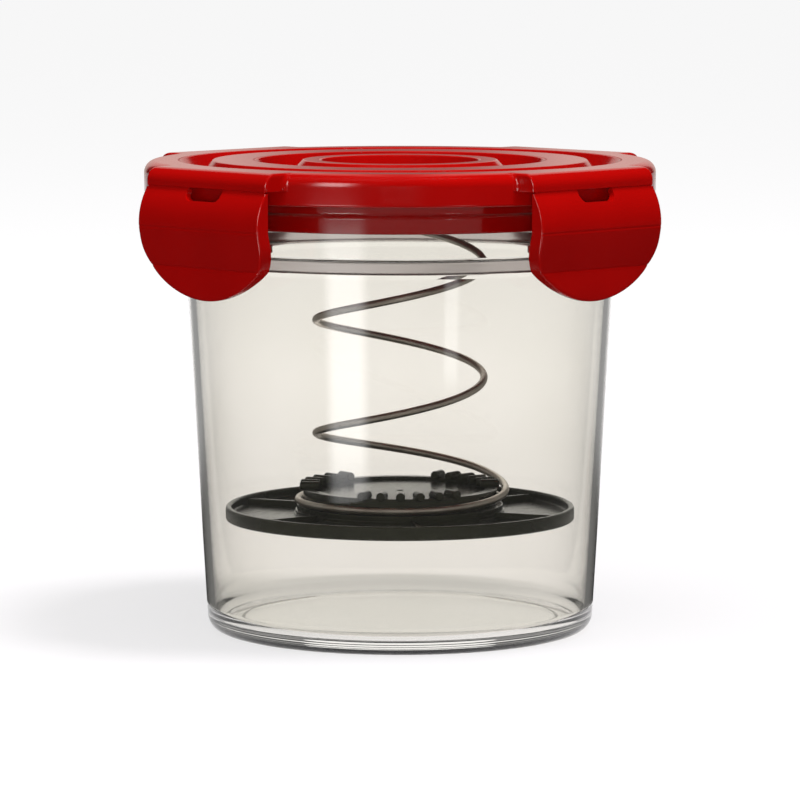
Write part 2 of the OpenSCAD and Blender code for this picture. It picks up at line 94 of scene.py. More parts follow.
# Lid
LID_TOP = lid_high.z
TAB_FACE = lid_high.x
LID_WALL = 2.2
RING_RISE = 4.5
SKIRT_LAP = 3.3
SHOULDER_R = 4.0
PLUG_GAP = 0.6
PLUG_Z = lid_low.z
RING_ROUND = 0.9
TAB_REACH = 3.1
TAB_H = 5.8
TAB_LIP = 2.0
TAB_ROUND = 4.5
TAB_EDGE_R = 1.2
TAB_CORNER_R = 1.0
TAB_FILLET_R = 2.5
HINGE_RELIEF = 0.15
HINGE_SLIT = 0.4
LID_FLOOR_Z = LID_TOP - RING_RISE
LID_UNDER_Z = LID_FLOOR_Z - LID_WALL
LID_ROOF_Z = LID_TOP - LID_WALL
SKIRT_R = TAB_FACE - TAB_REACH
SKIRT_IN_R = SKIRT_R - LID_WALL
SKIRT_Z = RIM_Z - SKIRT_LAP
PLUG_R = NECK_IN_R - PLUG_GAP
HINGE_Z = LID_TOP - TAB_H
# Widths from the skirt's face in to the middle: the flats and slopes of the rings in turn
RING_STEPS = (11.4, 3.0, 4.6, 3.7, 13.7, 2.0, 9.5, 4.5, 5.5, 1.5)

# Clips
CLIP_W = 56.0
CLIP_WALL = 1.9
CLIP_Z = clip_low.z
CLIP_OUT = clip_high.x
CLIP_BULGE = 3.6
CLIP_BEND = 13.0
CLIP_CURL = 10.4
CLIP_LEAN = 3.0
CLIP_TUCK = 0.2
CLIP_EDGE_R = 0.7
FACE_RADII = (19.5, 90.0, 60.0)
CLIP_ARC_R = 36.0
CLIP_CORNER_R = 14.0
BEND_LINE_W = 0.3
BEND_LINE_D = 0.14
NOTCH_W = 16.2
NOTCH_D = 4.1
NOTCH_R = 2.7
HINGE_R = 0.5
HINGE_NECK = 0.95
HINGE_INSET = 0.12
CLIP_PROUD = 0.1
HOOK_W = 20.0
HOOK_T = 3.2
HOOK_GAP = 0.3
HOOK_PASS = 0.4
WEB_H = 9.0
WEB_T = 1.6
WEB_COUNT = 3
CLIP_EASE = 0.3
HOOK_EASE = 0.35
WEB_EASE = 0.25
# Slivers that the bevel leaves on a clip are thinner than this
SLIVER = 0.01
# How far webs and hinge necks are sunk into what carries them
CLIP_SUNK = 0.5
CLIP_SIDES = ("front_clip", "right_clip", "rear_clip", "left_clip")

# Press plate, spring and spring retainers
PRESS_Z = plate_low.z
PLATE_R = plate_high.x
PLATE_FLOOR = 1.6
PLATE_RIM_H = 4.6
PLATE_RIM_T = 2.0
RIB_COUNT = 6
RIB_T = 1.6
RIB_H = 2.0
RIB_TURN = math.radians(22)
RIB_EASE = 0.35
RIB_SUNK = 0.5
HUB_H = 4.9
HUB_OVER = 0.55
HUB_STEP = 0.5
STEP_ROUND = 0.12
INNER_ROUND = 0.15
SPIGOT_GAP = 0.3
GATE_R = 1.3
GATE_D = 0.35
GATE_NARROWS = 0.8
GATE_ROUND = 0.1
WIRE_D = 2.5
WIRE_SIDES = 16
WIRE_STEP = math.radians(3)
# Length of the eased end of the wire, and the share of its thickness that is left there
WIRE_END = 0.25
WIRE_END_SHARE = 0.85
# Angle to either side of a point that gives the direction of the wire there
WIRE_NUDGE = 0.01
COIL_R = 27.9
END_COIL_R = 33.75
COIL_PITCH = 37.7
END_COIL_TURN = math.radians(260)
COIL_RAMP = math.radians(120)
COIL_WIDEN = math.radians(90)
COIL_DRAW_IN = math.radians(134)
COIL_START = math.radians(-45)
SEAT_GAP = 0.2
BOSS_DROP = 4.05
KEEPER_T = 3.9
KEEPER_H = 5.3
KEEPER_GAP = 0.3
KEEPER_CLEAR = 0.05
KEEPER_FOOT_ROUND = 0.3
KEEPER_TOP_ROUND = 0.6
PEG_D = 3.0
PEG_OVER = 1.2
PEG_IN = 1.5
PEG_LIFT = 0.7
PEG_PASS = 0.5
PEG_EASE = 0.7
PEG_GROUPS = 3
GROUP_PEGS = 6
PEG_STEP = math.radians(11.4)
GROUP_TURN = math.radians(6)
PLATE_SEAT_Z = PRESS_Z + HUB_H
LID_SEAT_Z = LID_UNDER_Z - BOSS_DROP
COIL_LOW_Z = PLATE_SEAT_Z + SEAT_GAP + WIRE_D / 2
COIL_HIGH_Z = LID_SEAT_Z - SEAT_GAP - WIRE_D / 2
WORK_TURN = (COIL_HIGH_Z - COIL_LOW_Z) * math.tau / COIL_PITCH + COIL_RAMP
KEEPER_OUT_R = END_COIL_R - WIRE_D / 2 - KEEPER_GAP
KEEPER_IN_R = KEEPER_OUT_R - KEEPER_T
PEG_END_R = KEEPER_OUT_R + PEG_OVER
PASS_R = PEG_END_R + PEG_PASS + WIRE_D / 2
SPIGOT_R = KEEPER_IN_R - KEEPER_CLEAR
SPIGOT_H = KEEPER_H + PEG_LIFT - PEG_D / 2 - SPIGOT_GAP
HUB_R = END_COIL_R + HUB_OVER
PEG_TOP = KEEPER_H + PEG_LIFT + PEG_D / 2 + PEG_PASS - SEAT_GAP
PEG_CLEARED = COIL_RAMP / 2 + PEG_TOP * math.tau / COIL_PITCH

# Seal and its groove under the lid
GROOVE_OUT = 2.8
GROOVE_LAP = 1.5
GROOVE_WALL = 1.6
GROOVE_R = BEAD_R + GROOVE_OUT
GROOVE_Z = RIM_Z - GROOVE_LAP
SEAL_LIFT = 0.3
SEAL_CLEAR = 0.1


# Small helpers for shapes

def smooth(t):
    """Eases from 0 to 1."""
    k = min(max(t, 0), 1)
    return k * k * (3 - 2 * k)


def spread(start, end, count):
    """Evenly spaced values from start to end, both included."""
    return [start + (end - start) * i / count for i in range(count + 1)]


def rounded(points, steps=6):
    """Outline through points (x, y, corner radius), each corner with a radius drawn as an arc."""
    outline = []
    for i, (x, y, radius) in enumerate(points):
        corner = Vector((x, y))
        if radius == 0:
            outline.append(corner)
            continue
        before = (Vector(points[i - 1][:2]) - corner).normalized()
        after = (Vector(points[(i + 1) % len(points)][:2]) - corner).normalized()
        half = before.angle(after) / 2
        middle = corner + (before + after).normalized() * radius / math.sin(half)
        start = corner + before * radius / math.tan(half) - middle
        sweep = -math.copysign(math.pi - 2 * half, before.cross(after))
        outline += [middle + Matrix.Rotation(a, 2) @ start for a in spread(0, sweep, steps)]
    return outline


def tidy(bm):
    """Closes seams and poles, and turns the faces outwards."""
    bmesh.ops.remove_doubles(bm, verts=bm.verts, dist=MERGE)
    bmesh.ops.dissolve_degenerate(bm, edges=bm.edges, dist=MERGE)
    bmesh.ops.recalc_face_normals(bm, faces=bm.faces)
    return bm


def lathe(outline, closed, steps=192):
    """Outline in radius and height, spun round the pot's axis."""
    bm = bmesh.new()
    verts = [bm.verts.new((p.x, 0, p.y)) for p in outline]
    pairs = list(zip(verts, verts[1:]))
    if closed:
        pairs.append((verts[-1], verts[0]))
    edges = [bm.edges.new(pair) for pair in pairs]
    bmesh.ops.spin(bm, geom=verts + edges, axis=UP, angle=math.tau, steps=steps, use_merge=True)
    return tidy(bm)


def bent_grid(columns, rows, place):
    """Grid bent into a surface: place(column, row) gives each point. Its UV map runs with the grid."""
    bm = bmesh.new()
    bm.loops.layers.uv.new("UVMap")
    bmesh.ops.create_grid(bm, x_segments=columns, y_segments=rows, size=1, calc_uvs=True)
    for v in bm.verts:
        column = round((v.co.x + 1) / 2 * columns)
        row = round((v.co.y + 1) / 2 * rows)
        v.co = place(column, row)
    return bm


def prism(outline, depth):
    """Flat outline, a list of points, carried along a vector."""
    bm = bmesh.new()
    face = bm.faces.new([bm.verts.new(p) for p in outline])
    grown = bmesh.ops.extrude_face_region(bm, geom=[face], use_keep_orig=True)["geom"]
    bmesh.ops.translate(bm, verts=[g for g in grown if isinstance(g, bmesh.types.BMVert)], vec=depth)
    bmesh.ops.recalc_face_normals(bm, faces=bm.faces)
    return bm


def eased(bm, offset, segments=2):
    """Rounds every sharp edge of a small solid."""
    edges = [e for e in bm.edges if e.is_manifold and e.calc_face_angle() > SHARP]
    bmesh.ops.bevel(bm, geom=edges, offset=offset, offset_type="OFFSET", affect="EDGES",
                    segments=segments, profile=0.5, material=-1, clamp_overlap=True)
    return bm


def joined(*parts):
    """Several solids as one mesh."""
    whole = bmesh.new()
    for part in parts:
        mesh = bpy.data.meshes.new("part")
        part.to_mesh(mesh)
        part.free()
        whole.from_mesh(mesh)
        bpy.data.meshes.remove(mesh)
    return whole


def turned(bm, matrix):
    """The same mesh in another place."""
    bm.transform(matrix)
    return bm


def with_modifiers(bm, *modifiers):
    """The mesh after modifiers, each a kind and its settings."""
    mesh = bpy.data.meshes.new("shaping")
    bm.to_mesh(mesh)
    bm.free()
    obj = bpy.data.objects.new("shaping", mesh)
    bpy.context.scene.collection.objects.link(obj)
    for kind, settings in modifiers:
        modifier = obj.modifiers.new(kind.lower(), kind)
        for name, value in settings.items():
            setattr(modifier, name, value)
    made = obj.evaluated_get(bpy.context.evaluated_depsgraph_get()).to_mesh()
    shaped = bmesh.new()
    shaped.from_mesh(made)
    bpy.data.objects.remove(obj)
    bpy.data.meshes.remove(mesh)
    return shaped


def piece(name, bm, body, node, material, sharp_angle=38):
    """Object for a finished shape, riding on its body in place of its CAD node."""
    bm.transform(Matrix.Scale(MM, 4))
    mesh = bpy.data.meshes.new(name)
    bm.to_mesh(mesh)
    bm.free()
    mesh.shade_smooth()
    mesh.set_sharp_from_angle(angle=math.radians(sharp_angle))
    mesh.materials.append(material)
    obj = bpy.data.objects.new(name, mesh)
    bpy.context.scene.collection.objects.link(obj)
    weighted = obj.modifiers.new("weighted_normals", "WEIGHTED_NORMAL")
    weighted.keep_sharp = True
    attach(obj, body)
    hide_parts(node)
    return obj


# Materials

def linear(hex_colour):
    """sRGB hex colour as linear RGBA."""
    channels = [int(hex_colour[i:i + 2], 16) / 255 for i in (1, 3, 5)]
    return [c / 12.92 if c <= 0.04045 else ((c + 0.055) / 1.055) ** 2.4 for c in channels] + [1]


def add(tree, kind, inputs=None, **settings):
    """Adds a shader node. A socket among the inputs is linked, and any other value is set."""
    made = tree.nodes.new("ShaderNode" + kind)
    for name, value in settings.items():
        setattr(made, name, value)
    for name, value in (inputs or {}).items():
        if isinstance(value, bpy.types.NodeSocket):
            tree.links.new(value, made.inputs[name])
        else:
            made.inputs[name].default_value = value
    return made


def new_material(name):
    """Empty material, its node tree and the Object coordinates of the piece."""
    material = bpy.data.materials.new(name)
    material.use_nodes = True
    tree = material.node_tree
    tree.nodes.clear()
    point = add(tree, "TexCoord").outputs["Object"]
    return material, tree, point


def per_mm(size):
    """Noise scale, in the scene's metres, for features of a size in millimetres."""
    return 1 / (size * MM)


def clear_styrene():
    """Clear SAN, injection moulded: glassy, faintly warm, with the slow ripple of a moulded wall."""
    material, tree, point = new_material("clear moulded SAN")
    ripple = add(tree, "TexNoise", {"Vector": point, "Scale": per_mm(45), "Detail": 1.0})
    haze = add(tree, "TexNoise", {"Vector": point, "Scale": per_mm(9), "Detail": 4.0})
    tint = add(tree, "ValToRGB", {"Fac": ripple.outputs["Fac"]})
    tint.color_ramp.elements[0].position = 0.3
    tint.color_ramp.elements[0].color = linear("#F7F5EF")
    tint.color_ramp.elements[1].position = 0.7
    tint.color_ramp.elements[1].color = linear("#FAF8F3")
    rough = add(tree, "MapRange", {"Value": haze.outputs["Fac"], "To Min": 0.012, "To Max": 0.035})
    # The catch ledge has a fine moulded grain, which makes it satin. It is also tinted grey, a painted shade
    # for the darker look of its thick clear edge
    height = add(tree, "SeparateXYZ", {"Vector": point}).outputs["Z"]
    level = add(tree, "VectorMath", {0: point, 1: (1, 1, 0)}, operation="MULTIPLY")
    radius = add(tree, "VectorMath", {0: level.outputs["Vector"]}, operation="LENGTH")
    in_band = add(tree, "Math", {0: height, 1: (LEDGE_Z + LEDGE_H / 2) * MM, 2: LEDGE_H / 2 * MM},
                  operation="COMPARE")
    stands_out = add(tree, "Math", {0: radius.outputs["Value"], 1: (NECK_R + LEDGE_OUT / 2) * MM},
                     operation="GREATER_THAN")
    ledge = add(tree, "Math", {0: in_band.outputs[0], 1: stands_out.outputs[0]}, operation="MULTIPLY")
    rough = add(tree, "Math", {0: ledge.outputs[0], 1: 0.4, 2: rough.outputs["Result"]},
                operation="MULTIPLY_ADD")
    bump = add(tree, "Bump", {"Height": ripple.outputs["Fac"], "Strength": 0.05, "Distance": 0.4 * MM})
    # Painted shade: the ledge's colour is mixed towards grey
    ledge_shade_tint = add(tree, "MixRGB", {"Fac": ledge.outputs[0], 1: tint.outputs["Color"], 2: linear("#9A918E")})
    glass = add(tree, "BsdfPrincipled", {
        "Base Color": ledge_shade_tint.outputs["Color"], "Roughness": rough.outputs[0],
        "Normal": bump.outputs["Normal"], "IOR": 1.52, "Transmission Weight": 1.0})
    # Lamps shine through the wall, as they do through real clear plastic
    lamp_way = add(tree, "BsdfTransparent", {"Color": linear("#F6F4F2")})
    path = add(tree, "LightPath")
    mix = add(tree, "MixShader", {0: path.outputs["Is Shadow Ray"],
                                  1: glass.outputs["BSDF"], 2: lamp_way.outputs["BSDF"]})
    add(tree, "OutputMaterial", {"Surface": mix.outputs["Shader"]})
    return material


def red_polypropylene():
    """Red PP, injection moulded and glossy: deep colour, slow flow shading and a faint orange peel."""
    material, tree, point = new_material("glossy red polypropylene")
    flow = add(tree, "TexNoise", {"Vector": point, "Scale": per_mm(32), "Detail": 2.0})
    peel = add(tree, "TexNoise", {"Vector": point, "Scale": per_mm(0.9), "Detail": 2.0})
    colour = add(tree, "ValToRGB", {"Fac": flow.outputs["Fac"]})
    colour.color_ramp.elements[0].position = 0.3
    colour.color_ramp.elements[0].color = linear("#AC0503")
    colour.color_ramp.elements[1].position = 0.7
    colour.color_ramp.elements[1].color = linear("#B60604")
    rough = add(tree, "MapRange", {"Value": peel.outputs["Fac"], "To Min": 0.12, "To Max": 0.18})
    bump = add(tree, "Bump", {"Height": peel.outputs["Fac"], "Strength": 0.06, "Distance": 0.05 * MM})
    skin = add(tree, "BsdfPrincipled", {
        "Base Color": colour.outputs["Color"], "Roughness": rough.outputs["Result"],
        "Normal": bump.outputs["Normal"], "IOR": 1.49})
    add(tree, "OutputMaterial", {"Surface": skin.outputs["BSDF"]})
    return material


def dark_polypropylene():
    """Green-black PP, injection moulded: satin, with a fine moulded grain that softens its shine."""
    material, tree, point = new_material("satin dark polypropylene")
    flow = add(tree, "TexNoise", {"Vector": point, "Scale": per_mm(18), "Detail": 3.0})
    grain = add(tree, "TexNoise", {"Vector": point, "Scale": per_mm(0.7), "Detail": 3.0})
    colour = add(tree, "ValToRGB", {"Fac": flow.outputs["Fac"]})
    colour.color_ramp.elements[0].position = 0.3
    colour.color_ramp.elements[0].color = linear("#25261B")
    colour.color_ramp.elements[1].position = 0.7
    colour.color_ramp.elements[1].color = linear("#303224")
    rough = add(tree, "MapRange", {"Value": grain.outputs["Fac"], "To Min": 0.14, "To Max": 0.24})
    bump = add(tree, "Bump", {"Height": grain.outputs["Fac"], "Strength": 0.12, "Distance": 0.06 * MM})
    skin = add(tree, "BsdfPrincipled", {
        "Base Color": colour.outputs["Color"], "Roughness": rough.outputs["Result"],
        "Normal": bump.outputs["Normal"], "IOR": 1.49})
    add(tree, "OutputMaterial", {"Surface": skin.outputs["BSDF"]})
    return material


def drawn_stainless(wire_length):
    """Stainless spring wire, cold drawn: fine die lines run along it, drawn coarse enough to show."""
    material, tree, point = new_material("drawn stainless spring wire")
    along = add(tree, "TexCoord").outputs["UV"]
    # The UV map runs 0 to 1 along the wire and round it
    stretch = add(tree, "Mapping", {"Vector": along, "Scale": (wire_length / 30, math.pi * WIRE_D / 0.25, 1)})
    lines = add(tree, "TexNoise", {"Vector": stretch.outputs["Vector"], "Scale": 1.0, "Detail": 3.0})
    stain = add(tree, "TexNoise", {"Vector": point, "Scale": per_mm(11), "Detail": 2.0})
    colour = add(tree, "ValToRGB", {"Fac": stain.outputs["Fac"]})
    colour.color_ramp.elements[0].position = 0.35
    colour.color_ramp.elements[0].color = linear("#CBC0B4")
    colour.color_ramp.elements[1].position = 0.65
    colour.color_ramp.elements[1].color = linear("#E4DDD3")
    rough = add(tree, "MapRange", {"Value": lines.outputs["Fac"], "To Min": 0.26, "To Max": 0.44})
    bump = add(tree, "Bump", {"Height": lines.outputs["Fac"], "Strength": 0.15, "Distance": 0.03 * MM})
    metal = add(tree, "BsdfPrincipled", {
        "Base Color": colour.outputs["Color"], "Roughness": rough.outputs["Result"],
        "Normal": bump.outputs["Normal"], "Metallic": 1.0})
    add(tree, "OutputMaterial", {"Surface": metal.outputs["BSDF"]})
    return material


def seal_silicone():
    """Silicone rubber, compression moulded: milky, soft sheen, dusty in its fine grain."""
    material, tree, point = new_material("milky silicone rubber")
    dust = add(tree, "TexNoise", {"Vector": point, "Scale": per_mm(2.5), "Detail": 4.0})
    colour = add(tree, "ValToRGB", {"Fac": dust.outputs["Fac"]})
    colour.color_ramp.elements[0].color = linear("#D9D6CC")
    colour.color_ramp.elements[1].color = linear("#E9E7DF")
    bump = add(tree, "Bump", {"Height": dust.outputs["Fac"], "Strength": 0.1, "Distance": 0.05 * MM})
    rubber = add(tree, "BsdfPrincipled", {
        "Base Color": colour.outputs["Color"], "Roughness": 0.5, "Normal": bump.outputs["Normal"],
        "IOR": 1.41, "Subsurface Weight": 0.3, "Subsurface Radius": (0.003, 0.003, 0.0025)})
    add(tree, "OutputMaterial", {"Surface": rubber.outputs["BSDF"]})
    return material


# Shapes

def wall_r(z):
    """Outer radius of the pot's tapered wall at a height."""
    return POT_FOOT_R + z * math.tan(POT_DRAFT)


def pot_shape():
    """Tapered pot with its foot ring, catch ledge, neck and rim bead."""
    foot_in_r = POT_FOOT_R - BASE_ROUND - FOOT_W
    throat_z = LEDGE_Z - THROAT_H
    outline = rounded([
        (0, FOOT_HOLLOW, 0),
        (foot_in_r, FOOT_HOLLOW, EDGE_ROUND / 2),
        (foot_in_r + FOOT_HOLLOW, 0, EDGE_ROUND / 2),
        (POT_FOOT_R, 0, BASE_ROUND),
        (wall_r(LEDGE_Z), LEDGE_Z, EDGE_ROUND),
        (LEDGE_R, LEDGE_Z, EDGE_ROUND),
        (LEDGE_R, LEDGE_Z + LEDGE_H, EDGE_ROUND),
        (NECK_R, LEDGE_Z + LEDGE_H, EDGE_ROUND),
        (NECK_R, RIM_Z - BEAD_H, EDGE_ROUND),
        (BEAD_R, RIM_Z - BEAD_H + BEAD_SLOPE, EDGE_ROUND),
        (BEAD_R, RIM_Z, EDGE_ROUND),
        (NECK_IN_R, RIM_Z, EDGE_ROUND),
        (NECK_IN_R, LEDGE_Z + LEDGE_H, THROAT_H),
        (wall_r(throat_z) - POT_WALL, throat_z, THROAT_H),
        (wall_r(POT_FLOOR) - POT_WALL, POT_FLOOR, BASE_ROUND),
        (0, POT_FLOOR, 0)], steps=8)
    return lathe(outline, closed=False, steps=256)


def ring_line(inset):
    """Corners of the lid's rings from the middle out, moved in by a wall thickness."""
    radii = [SKIRT_R - sum(RING_STEPS[:i + 1]) for i in range(len(RING_STEPS))][::-1]
    # Radii in turn: foot and top of each slope, where every other slope falls
    line = []
    for i in range(0, len(radii), 2):
        rising = i % 4 == 0
        low, high = (radii[i], radii[i + 1]) if rising else (radii[i + 1], radii[i])
        shift = inset * math.tan(math.atan2(RING_RISE, abs(high - low)) / 2)
        shift = shift if high > low else -shift
        foot = (low + shift, LID_FLOOR_Z - inset, RING_ROUND)
        top = (high + shift, LID_TOP - inset, RING_ROUND)
        line += [foot, top] if rising else [top, foot]
    return line


def lid_edge_plan(skirt_r, face, half):
    """Edge of the lid at one height, seen from above: a tab and half the skirt to either side of it."""
    corner = Vector((face - TAB_CORNER_R, half - TAB_CORNER_R))
    hollow_y = half + TAB_FILLET_R
    hollow = Vector((math.sqrt((skirt_r + TAB_FILLET_R) ** 2 - hollow_y ** 2), hollow_y))
    skirt_from = math.atan2(hollow.y, hollow.x)
    front = [Vector((face, y)) for y in spread(0, corner.y, 8)]
    turn = [corner + TAB_CORNER_R * Vector((math.cos(a), math.sin(a))) for a in spread(0, math.pi / 2, 6)]
    side = [Vector((x, half)) for x in spread(corner.x, hollow.x, 5)]
    blend = [hollow + TAB_FILLET_R * Vector((math.cos(a), math.sin(a)))
             for a in spread(-math.pi / 2, skirt_from - math.pi, 8)]
    skirt = [skirt_r * Vector((math.cos(a), math.sin(a))) for a in spread(skirt_from, math.pi / 4, 12)]
    quarter = front + turn[1:] + side[1:] + blend[1:] + skirt[1:]
    mirrored = [Vector((p.x, -p.y)) for p in quarter[:0:-1]]
    return mirrored[1:] + quarter


def under_round(edge, radius, z):
    """Where a wall of the lid lies at a height, when its top edge is rounded."""
    rise = max(z - LID_TOP + radius, 0)
    return edge - radius + math.sqrt(radius ** 2 - rise ** 2)


def tab_pocket(p):
    """Lower edge of the lid in one direction: the tab's lip and the pocket behind it."""
    edge_r = p.length
    across = max(abs(p.y) / edge_r, 1e-6)
    relief = min(HINGE_RELIEF, edge_r - SKIRT_R)
    pocket = max(min((TAB_FACE - TAB_LIP) * edge_r / p.x, (CLIP_W / 2 - TAB_LIP) / across), SKIRT_R)
    roof = HINGE_Z + min(pocket - SKIRT_R, LID_ROOF_Z - HINGE_Z)
    return [Vector(q) for q in (
        (edge_r, HINGE_Z + relief), (edge_r - relief, HINGE_Z), (pocket, HINGE_Z),
        (pocket, roof), (SKIRT_R, roof))]


def lid_shape():
    """Lid with rings, tabs, seal groove, plug and the bosses under it."""
    top = rounded([(0, LID_FLOOR_Z, 0), *ring_line(0), (SKIRT_R, LID_TOP, 0)])[:-1]
    under = ring_line(LID_WALL)
    groove_out = GROOVE_R + GROOVE_WALL
    below = rounded([
        (SKIRT_R, LID_TOP, 0),
        (SKIRT_R, SKIRT_Z, EDGE_ROUND),
        (SKIRT_IN_R, SKIRT_Z, EDGE_ROUND),
        (SKIRT_IN_R, LID_ROOF_Z, SHOULDER_R - LID_WALL),
        (groove_out, LID_ROOF_Z, 0),
        (groove_out, GROOVE_Z, EDGE_ROUND / 2),
        (GROOVE_R, GROOVE_Z, EDGE_ROUND / 2),
        (GROOVE_R, LID_ROOF_Z, EDGE_ROUND),
        under[-1],
        (under[-2][0], LID_UNDER_Z, 0),
        (PLUG_R, LID_UNDER_Z, EDGE_ROUND),
        (PLUG_R, PLUG_Z, EDGE_ROUND),
        (PLUG_R - LID_WALL, PLUG_Z, EDGE_ROUND),
        (PLUG_R - LID_WALL, LID_UNDER_Z, 0),
        *under[-3::-1],
        (0, LID_UNDER_Z, 0)])[1:]
    levels = []
    depth = max(SHOULDER_R, TAB_ROUND)
    for a in spread(0, math.pi / 2, 14):
        z = LID_TOP - depth * (1 - math.cos(a))
        plan = lid_edge_plan(under_round(SKIRT_R, SHOULDER_R, z), under_round(TAB_FACE, TAB_ROUND, z),
                             under_round(CLIP_W / 2, TAB_EDGE_R, z))
        levels.append([Vector((p.x, p.y, z)) for p in plan])
    edge = lid_edge_plan(SKIRT_R, TAB_FACE, CLIP_W / 2)
    sections = []
    for k, p in enumerate(edge):
        way = Vector((p.x, p.y, 0)) / p.length
        inside = [way * q.x + UP * q.y for q in top]
        outside = [way * q.x + UP * q.y for q in tab_pocket(p) + below]
        sections.append(inside + [level[k] for level in levels] + outside)

    def place(column, row):
        side, k = divmod(column, len(sections))
        return Matrix.Rotation(side * math.pi / 2, 3, "Z") @ sections[k][row]

    shell = tidy(bent_grid(4 * len(sections), len(sections[0]) - 1, place))
    # Walls under the lid that carry the upper spring retainer
    bosses = []
    for outer, low in ((HUB_R, LID_SEAT_Z), (SPIGOT_R, LID_SEAT_Z - SPIGOT_H)):
        high = LID_UNDER_Z + LID_WALL / 2
        bosses.append(lathe(rounded([
            (outer - LID_WALL, low, EDGE_ROUND / 2), (outer, low, EDGE_ROUND / 2),
            (outer, high, 0), (outer - LID_WALL, high, 0)]), closed=True, steps=128))
    return joined(shell, *bosses)


def seal_shape():
    """Ring that fills the groove under the lid, down to the pot's rim."""
    under = ring_line(LID_WALL)
    low = RIM_Z + SEAL_LIFT
    slope = (under[-1][0] - under[-2][0]) / (under[-1][1] - under[-2][1])
    inner = under[-2][0] + max(low - under[-2][1], 0) * slope + 3 * SEAL_CLEAR
    return lathe(rounded([
        (inner, low, EDGE_ROUND / 2),
        (GROOVE_R - SEAL_CLEAR, low, EDGE_ROUND / 2),
        (GROOVE_R - SEAL_CLEAR, LID_ROOF_Z - SEAL_CLEAR, EDGE_ROUND),
        (under[-1][0] + 3 * SEAL_CLEAR, LID_ROOF_Z - SEAL_CLEAR, EDGE_ROUND)]), closed=True)


# Points of the clip's face, outwards and up, from the hinge down to the lower edge
CLIP_FACE = [Vector(p) for p in (
    (TAB_FACE + CLIP_PROUD, HINGE_Z - HINGE_NECK),
    (TAB_FACE + CLIP_BULGE, HINGE_Z - CLIP_BEND),
    (TAB_FACE + CLIP_BULGE - CLIP_LEAN, CLIP_Z + CLIP_CURL),
    (TAB_FACE + CLIP_BULGE - CLIP_LEAN - CLIP_TUCK, CLIP_Z))]
CLIP_ARC_Z = CLIP_Z + CLIP_ARC_R
CLIP_SIDE = CLIP_W / 2 - CLIP_CORNER_R
CLIP_CORNER_Z = CLIP_ARC_Z - math.sqrt((CLIP_ARC_R - CLIP_CORNER_R) ** 2 - CLIP_SIDE ** 2)
# Angle at which the round lower edge meets the corner
CLIP_MEET = math.atan2(CLIP_SIDE, CLIP_ARC_Z - CLIP_CORNER_Z)


def face_at(z):
    """How far out the clip's face lies at a height, with its two fine bend lines."""
    if z >= CLIP_FACE[0].y:
        return CLIP_FACE[0].x
    part = 0 if z >= CLIP_FACE[1].y else 1 if z >= CLIP_FACE[2].y else 2
    above, below = CLIP_FACE[part:part + 2]
    way = (below - above).normalized()
    reach = math.sqrt(FACE_RADII[part] ** 2 - (below - above).length_squared / 4)
    middle = (above + below) / 2 + Vector((way.y, -way.x)) * reach
    out = min(middle.x + math.sqrt(FACE_RADII[part] ** 2 - (z - middle.y) ** 2), CLIP_OUT)
    lines = sum(math.exp(-((z - bend.y) / BEND_LINE_W) ** 2) for bend in CLIP_FACE[1:3])
    return out - BEND_LINE_D * lines


def back_at(z):
    """How far out the clip's back edge lies at a height."""
    back = TAB_FACE - 2 * HINGE_R
    low_back = CLIP_FACE[3].x - CLIP_WALL
    stations = [(CLIP_FACE[1].y, back), (CLIP_FACE[2].y, back - CLIP_LEAN), (CLIP_Z + CLIP_WALL, low_back)]
    if z >= stations[0][0]:
        return back
    for (high, start), (low, end) in zip(stations, stations[1:]):
        if z >= low:
            return end + (start - end) * (z - low) / (high - low)
    return low_back


def clip_half_width(z):
    """Half the clip's width at a height."""
    if z >= CLIP_CORNER_Z:
        return CLIP_W / 2
    if z >= CLIP_ARC_Z - CLIP_ARC_R * math.cos(CLIP_MEET):
        return CLIP_SIDE + math.sqrt(max(CLIP_CORNER_R ** 2 - (CLIP_CORNER_Z - z) ** 2, 0))
    return math.sqrt(max(CLIP_ARC_R ** 2 - (CLIP_ARC_Z - z) ** 2, 0))


def clip_margin(y, z):
    """Distance in from the clip's side and lower edges."""
    if z >= CLIP_CORNER_Z:
        return CLIP_W / 2 - abs(y)
    if math.atan2(abs(y), CLIP_ARC_Z - z) > CLIP_MEET and abs(y) > CLIP_SIDE:
        return CLIP_CORNER_R - math.hypot(abs(y) - CLIP_SIDE, CLIP_CORNER_Z - z)
    return min(CLIP_ARC_R - math.hypot(y, CLIP_ARC_Z - z), CLIP_W / 2 - abs(y))


